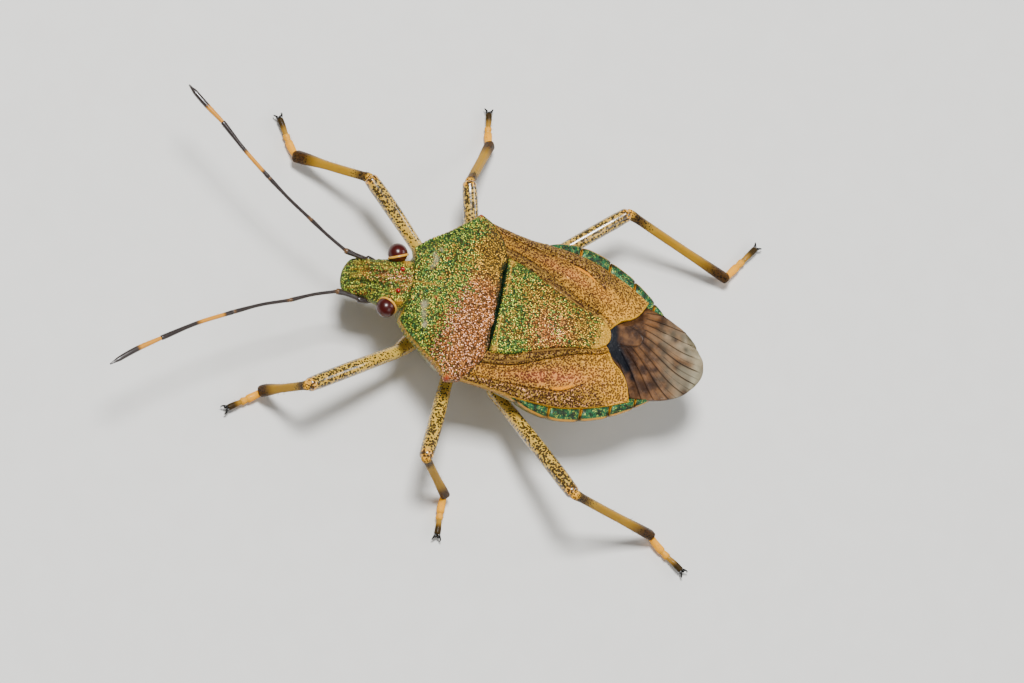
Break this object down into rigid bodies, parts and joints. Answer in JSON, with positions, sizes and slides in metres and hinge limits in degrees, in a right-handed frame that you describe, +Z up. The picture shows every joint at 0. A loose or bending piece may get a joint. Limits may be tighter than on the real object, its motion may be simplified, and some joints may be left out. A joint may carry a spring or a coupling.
{
  "type": "shield bug",
  "caption": "Life-size still model of a standing shield bug with a punctured bronze-green body, folded wings, bent legs and long jointed antennae.",
  "frame": {"origin": "on the floor under the centre of the bounding box", "axes": "+Z up, head towards -Y, +X towards the bug's left side"},
  "size_m": [0.0192, 0.0262, 0.0051],
  "materials": {
    "body_cuticle": "punctured metallic bronze-green cuticle, satin gloss",
    "wing_leather": "punctured leathery fore wing, bronze brown on yellow",
    "wing_membrane": "smoky membrane with dark raised veins",
    "belly_cuticle": "metallic green rim plates over a pale belly",
    "eye": "glossy dark maroon",
    "leg_cuticle": "pale yellow with dark specks, glossy",
    "antenna_cuticle": "dark brown with orange bands"
  },
  "bodies": {
    "root": {"head": "body_cuticle", "eye_left": "eye", "eye_right": "eye", "rostrum": "leg_cuticle", "pronotum": "body_cuticle", "scutellum": "body_cuticle", "thorax": "body_cuticle", "corium_left": "wing_leather", "corium_right": "wing_leather", "membrane_left": "wing_membrane", "membrane_right": "wing_membrane", "abdomen": "belly_cuticle", "fore_left_coxa": "leg_cuticle", "fore_left_femur": "leg_cuticle", "fore_left_tibia": "leg_cuticle", "fore_left_tarsus": "leg_cuticle", "fore_right_coxa": "leg_cuticle", "fore_right_femur": "leg_cuticle", "fore_right_tibia": "leg_cuticle", "fore_right_tarsus": "leg_cuticle", "mid_left_coxa": "leg_cuticle", "mid_left_femur": "leg_cuticle", "mid_left_tibia": "leg_cuticle", "mid_left_tarsus": "leg_cuticle", "mid_right_coxa": "leg_cuticle", "mid_right_femur": "leg_cuticle", "mid_right_tibia": "leg_cuticle", "mid_right_tarsus": "leg_cuticle", "hind_left_coxa": "leg_cuticle", "hind_left_femur": "leg_cuticle", "hind_left_tibia": "leg_cuticle", "hind_left_tarsus": "leg_cuticle", "hind_right_coxa": "leg_cuticle", "hind_right_femur": "leg_cuticle", "hind_right_tibia": "leg_cuticle", "hind_right_tarsus": "leg_cuticle", "antenna_left_1": "antenna_cuticle", "antenna_left_2": "antenna_cuticle", "antenna_left_3": "antenna_cuticle", "antenna_left_4": "antenna_cuticle", "antenna_left_5": "antenna_cuticle", "antenna_right_1": "antenna_cuticle", "antenna_right_2": "antenna_cuticle", "antenna_right_3": "antenna_cuticle", "antenna_right_4": "antenna_cuticle", "antenna_right_5": "antenna_cuticle"}
  },
  "joints": []
}
